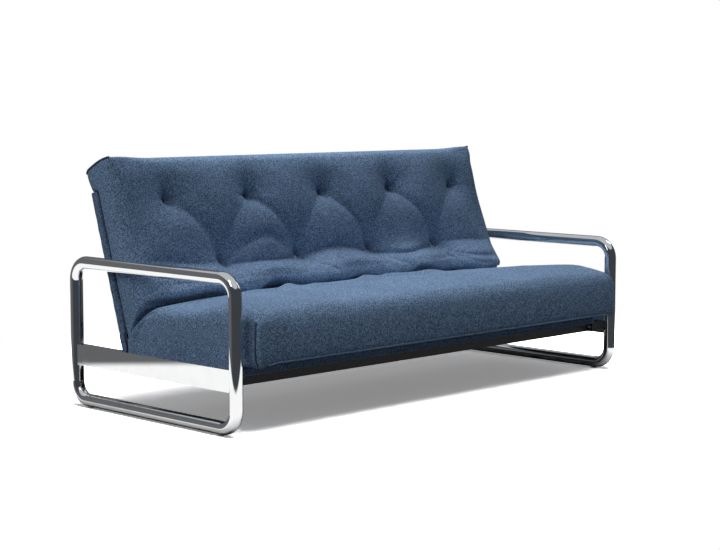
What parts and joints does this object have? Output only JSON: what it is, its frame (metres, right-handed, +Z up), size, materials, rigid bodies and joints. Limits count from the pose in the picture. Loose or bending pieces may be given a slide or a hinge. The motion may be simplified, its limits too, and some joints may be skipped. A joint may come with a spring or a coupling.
{
  "type": "futon sofa bed",
  "caption": "Three-seat futon sofa bed: looped metal arms, a sliding slatted seat and a slatted back on ratchet hinges that folds flat under one tufted mattress.",
  "frame": {"origin": "on the floor, under the middle of the sofa's outer box", "axes": "+X from the sitter's right arm to the left arm as seen from the front, along the length; -Y to the front, where the sitter's feet are; +Z up"},
  "size_m": [2.148, 0.994, 0.9341],
  "materials": {
    "chromed_tube": "bright chrome plate on steel tube",
    "black_steel": "semi-gloss black powder coat",
    "plated_steel": "bright zinc plate",
    "white_nylon": "natural nylon",
    "tan_glide": "tan moulded plastic",
    "black_rubber": "moulded rubber",
    "black_plastic": "moulded plastic",
    "beech_slat": "clear-coated bent beech plywood",
    "deck_fabric": "plain woven cover cloth",
    "mattress_fabric": "soft textured weave, tufted"
  },
  "bodies": {
    "base": {"left_arm_loop": "chromed_tube", "right_arm_loop": "chromed_tube", "left_side_rail": "chromed_tube", "right_side_rail": "chromed_tube", "front_cross_rail": "black_steel", "rear_cross_rail": "black_steel", "centre_beam": "black_steel", "left_runner_track": "plated_steel", "right_runner_track": "plated_steel", "frame_bolts": "plated_steel", "slide_pads": "white_nylon", "rest_pads": "black_rubber", "floor_glides": "tan_glide"},
    "seat": {"seat_front_tube": "black_steel", "seat_rear_tube": "black_steel", "seat_end_tubes": "black_steel", "seat_cross_bars": "black_steel", "seat_slat_holders": "black_plastic", "seat_deck_cover": "deck_fabric", "seat_mattress": "mattress_fabric", "left_seat_hinge": "plated_steel", "right_seat_hinge": "plated_steel", "hinge_pins": "plated_steel", "track_runners": "white_nylon", "seat_slat_1": "beech_slat", "seat_slat_2": "beech_slat", "seat_slat_3": "beech_slat", "seat_slat_4": "beech_slat", "seat_slat_5": "beech_slat", "seat_slat_6": "beech_slat", "seat_slat_7": "beech_slat", "seat_slat_8": "beech_slat", "seat_slat_9": "beech_slat", "seat_slat_10": "beech_slat", "seat_slat_11": "beech_slat", "seat_slat_12": "beech_slat"},
    "back": {"back_top_tube": "black_steel", "back_bottom_tube": "black_steel", "back_end_tubes": "black_steel", "back_cross_bars": "black_steel", "back_slat_holders": "black_plastic", "back_deck_cover": "deck_fabric", "back_mattress": "mattress_fabric", "left_back_hinge": "plated_steel", "right_back_hinge": "plated_steel", "back_slat_1": "beech_slat", "back_slat_2": "beech_slat", "back_slat_3": "beech_slat", "back_slat_4": "beech_slat", "back_slat_5": "beech_slat", "back_slat_6": "beech_slat", "back_slat_7": "beech_slat", "back_slat_8": "beech_slat", "back_slat_9": "beech_slat", "back_slat_10": "beech_slat", "back_slat_11": "beech_slat", "back_slat_12": "beech_slat"},
    "left_pawl": {"left_pawl": "plated_steel"},
    "right_pawl": {"right_pawl": "plated_steel"}
  },
  "joints": [
    {"name": "seat_slide", "type": "slide", "parent": "base", "child": "seat", "axis": [0, -1, 0], "range_m": [0, 0.2]},
    {"name": "back_fold", "type": "hinge", "parent": "seat", "child": "back", "pos_m": [0, 0.24105, 0.216], "axis": [-1, 0, 0], "range_deg": [0, 72.5]},
    {"name": "left_pawl_drop", "type": "hinge", "parent": "back", "child": "left_pawl", "pos_m": [-0.9877, 0.24508, 0.25781], "axis": [-1, 0, 0], "range_deg": [0, 7.5]},
    {"name": "right_pawl_drop", "type": "hinge", "parent": "back", "child": "right_pawl", "pos_m": [0.9877, 0.24508, 0.25781], "axis": [-1, 0, 0], "range_deg": [0, 7.5]}
  ]
}
